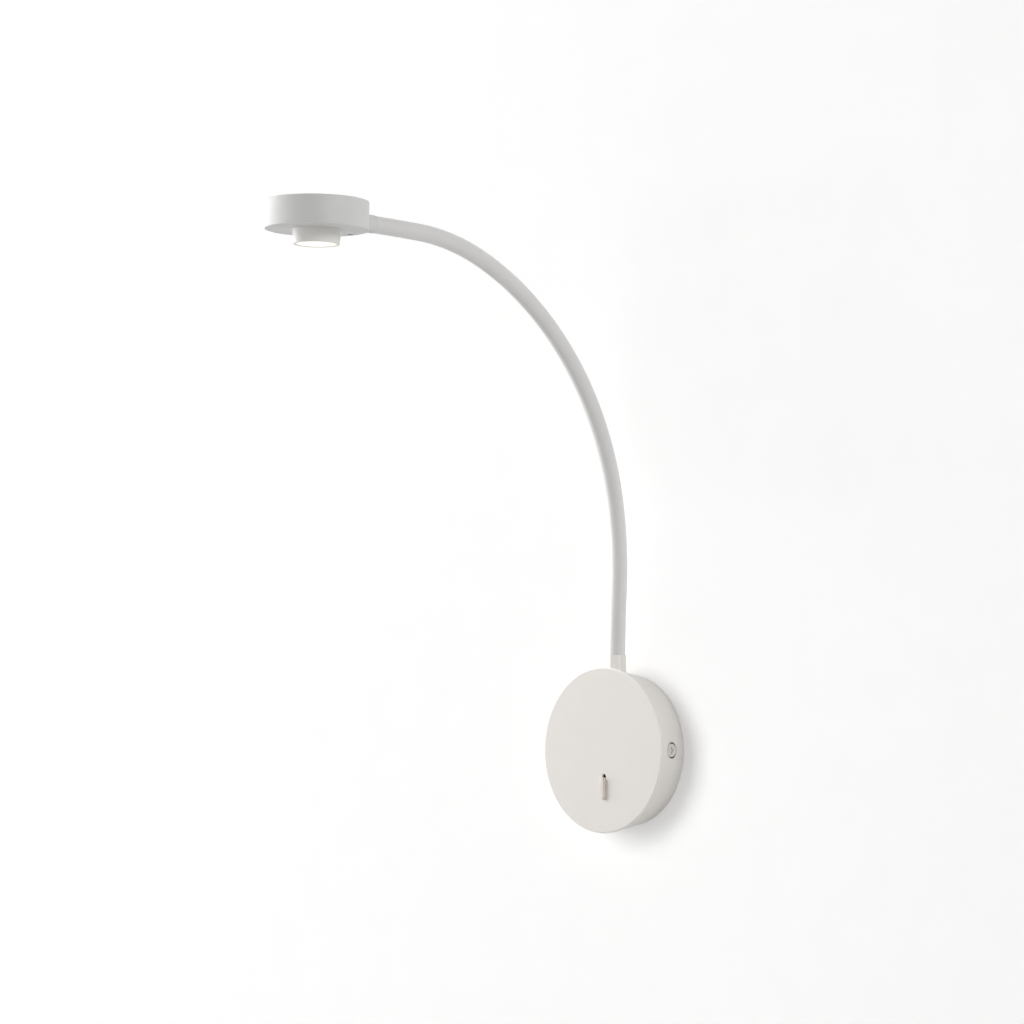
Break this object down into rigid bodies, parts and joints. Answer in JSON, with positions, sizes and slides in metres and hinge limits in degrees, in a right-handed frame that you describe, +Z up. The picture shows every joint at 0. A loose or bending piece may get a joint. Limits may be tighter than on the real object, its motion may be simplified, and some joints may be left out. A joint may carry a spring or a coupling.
{
  "type": "wall reading lamp",
  "caption": "Wall reading lamp with a round base, a flexible gooseneck arm, a flat round head with a downlight nose, and a slide switch.",
  "frame": {"origin": "centre of the wall bracket's back face, on the wall plane", "axes": "+Z up, +Y into the wall, lamp standing out towards -Y, +X to the right of someone facing the wall"},
  "size_m": [0.1096, 0.3096, 0.3978],
  "materials": {
    "painted_shell": "satin warm-white powder paint",
    "painted_screw": "satin white painted screw head",
    "sleeve": "smooth satin white elastomer",
    "hose_steel": "bright galvanised strip",
    "zinc_steel": "bright zinc plate",
    "grommet_rubber": "matt black moulding",
    "terminal_plastic": "natural polyamide",
    "terminal_brass": "nickel-free brass",
    "case_plastic": "flame-retardant white moulding",
    "circuit_board": "green solder mask",
    "core_tape": "yellow polyester tape on ferrite",
    "capacitor_can": "dark shrink sleeve on a can",
    "switch_black": "black moulding",
    "switch_white": "satin white moulding",
    "wire_brown": "PVC insulation",
    "wire_earth": "green-yellow PVC insulation",
    "wire_pale": "pale silicone insulation",
    "lens_opal": "opal diffuser",
    "mirror_film": "vapour-metallised moulding",
    "board_white": "white mask on an aluminium core",
    "emitter": "phosphor",
    "thermal_grey": "silicone thermal pad",
    "sink_aluminium": "plain extrusion"
  },
  "bodies": {
    "root": {"base_cover": "painted_shell", "wall_bracket": "zinc_steel", "cover_side_screws": "painted_screw", "cable_grommet": "grommet_rubber", "terminal_block": "terminal_plastic", "terminal_screws": "terminal_brass", "earth_screw": "zinc_steel", "earth_wire": "wire_earth", "driver_case": "case_plastic", "driver_lid": "case_plastic", "driver_board": "circuit_board", "driver_transformer": "core_tape", "driver_capacitor": "capacitor_can", "driver_screws": "zinc_steel", "switch_body": "switch_black", "switch_screws": "zinc_steel", "arm_base_fitting": "painted_shell", "arm_lock_nut": "zinc_steel", "arm_lock_washer": "zinc_steel", "mains_wires": "wire_brown", "low_voltage_wires": "wire_pale", "arm_sleeve_0": "sleeve", "arm_hose_0": "hose_steel", "arm_wires_0": "wire_pale"},
    "arm_link_1": {"arm_sleeve_1": "sleeve", "arm_hose_1": "hose_steel", "arm_wires_1": "wire_pale"},
    "arm_link_2": {"arm_sleeve_2": "sleeve", "arm_hose_2": "hose_steel", "arm_wires_2": "wire_pale"},
    "arm_link_3": {"arm_sleeve_3": "sleeve", "arm_hose_3": "hose_steel", "arm_wires_3": "wire_pale"},
    "arm_link_4": {"arm_sleeve_4": "sleeve", "arm_hose_4": "hose_steel", "arm_wires_4": "wire_pale"},
    "arm_link_5": {"arm_sleeve_5": "sleeve", "arm_hose_5": "hose_steel", "arm_wires_5": "wire_pale"},
    "arm_link_6": {"arm_sleeve_6": "sleeve", "arm_hose_6": "hose_steel", "arm_wires_6": "wire_pale"},
    "arm_link_7": {"arm_sleeve_7": "sleeve", "arm_hose_7": "hose_steel", "arm_wires_7": "wire_pale", "arm_head_fitting": "painted_shell", "head_housing": "painted_shell", "head_base_plate": "painted_shell", "nose_collar": "painted_shell", "lens": "lens_opal", "reflector": "mirror_film", "led_board": "board_white", "led_chip": "emitter", "thermal_pad": "thermal_grey", "heat_sink": "sink_aluminium", "heat_sink_screws": "zinc_steel", "led_board_screws": "zinc_steel", "arm_clamp_screw": "zinc_steel", "head_wires": "wire_pale"},
    "switch_knob": {"switch_knob": "switch_white"}
  },
  "joints": [
    {"name": "arm_bend_1", "type": "hinge", "parent": "root", "child": "arm_link_1", "pos_m": [0, -0.00937, 0.10544], "axis": [1, 0, 0], "range_deg": [0, 30], "deforming": ["arm_sleeve_0", "arm_wires_0", "arm_sleeve_1", "arm_wires_1"]},
    {"name": "arm_sway_2", "type": "hinge", "parent": "arm_link_1", "child": "arm_link_2", "pos_m": [0, -0.01156, 0.15877], "axis": [0, -0.9898, -0.1426], "range_deg": [-30, 30], "deforming": ["arm_sleeve_2", "arm_wires_2"]},
    {"name": "arm_bend_3", "type": "hinge", "parent": "arm_link_2", "child": "arm_link_3", "pos_m": [0, -0.0262, 0.21002], "axis": [1, 0, 0], "range_deg": [-25, 30], "deforming": ["arm_sleeve_3", "arm_wires_3"]},
    {"name": "arm_sway_4", "type": "hinge", "parent": "arm_link_3", "child": "arm_link_4", "pos_m": [0, -0.05394, 0.25555], "axis": [0, -0.7771, -0.6293], "range_deg": [-30, 30], "deforming": ["arm_sleeve_4", "arm_wires_4"]},
    {"name": "arm_bend_5", "type": "hinge", "parent": "arm_link_4", "child": "arm_link_5", "pos_m": [0, -0.09246, 0.29243], "axis": [1, 0, 0], "range_deg": [-25, 30], "deforming": ["arm_sleeve_5", "arm_wires_5"]},
    {"name": "arm_sway_6", "type": "hinge", "parent": "arm_link_5", "child": "arm_link_6", "pos_m": [0, -0.13903, 0.3184], "axis": [0, -0.3714, -0.9285], "range_deg": [-30, 30], "deforming": ["arm_sleeve_6", "arm_wires_6"]},
    {"name": "arm_bend_7", "type": "hinge", "parent": "arm_link_6", "child": "arm_link_7", "pos_m": [0, -0.19102, 0.32983], "axis": [1, 0, 0], "range_deg": [-30, 30], "deforming": ["arm_sleeve_7", "arm_wires_7"]},
    {"name": "switch_slide", "type": "slide", "parent": "root", "child": "switch_knob", "axis": [0, 0, 1], "range_m": [0, 0.0021]}
  ]
}
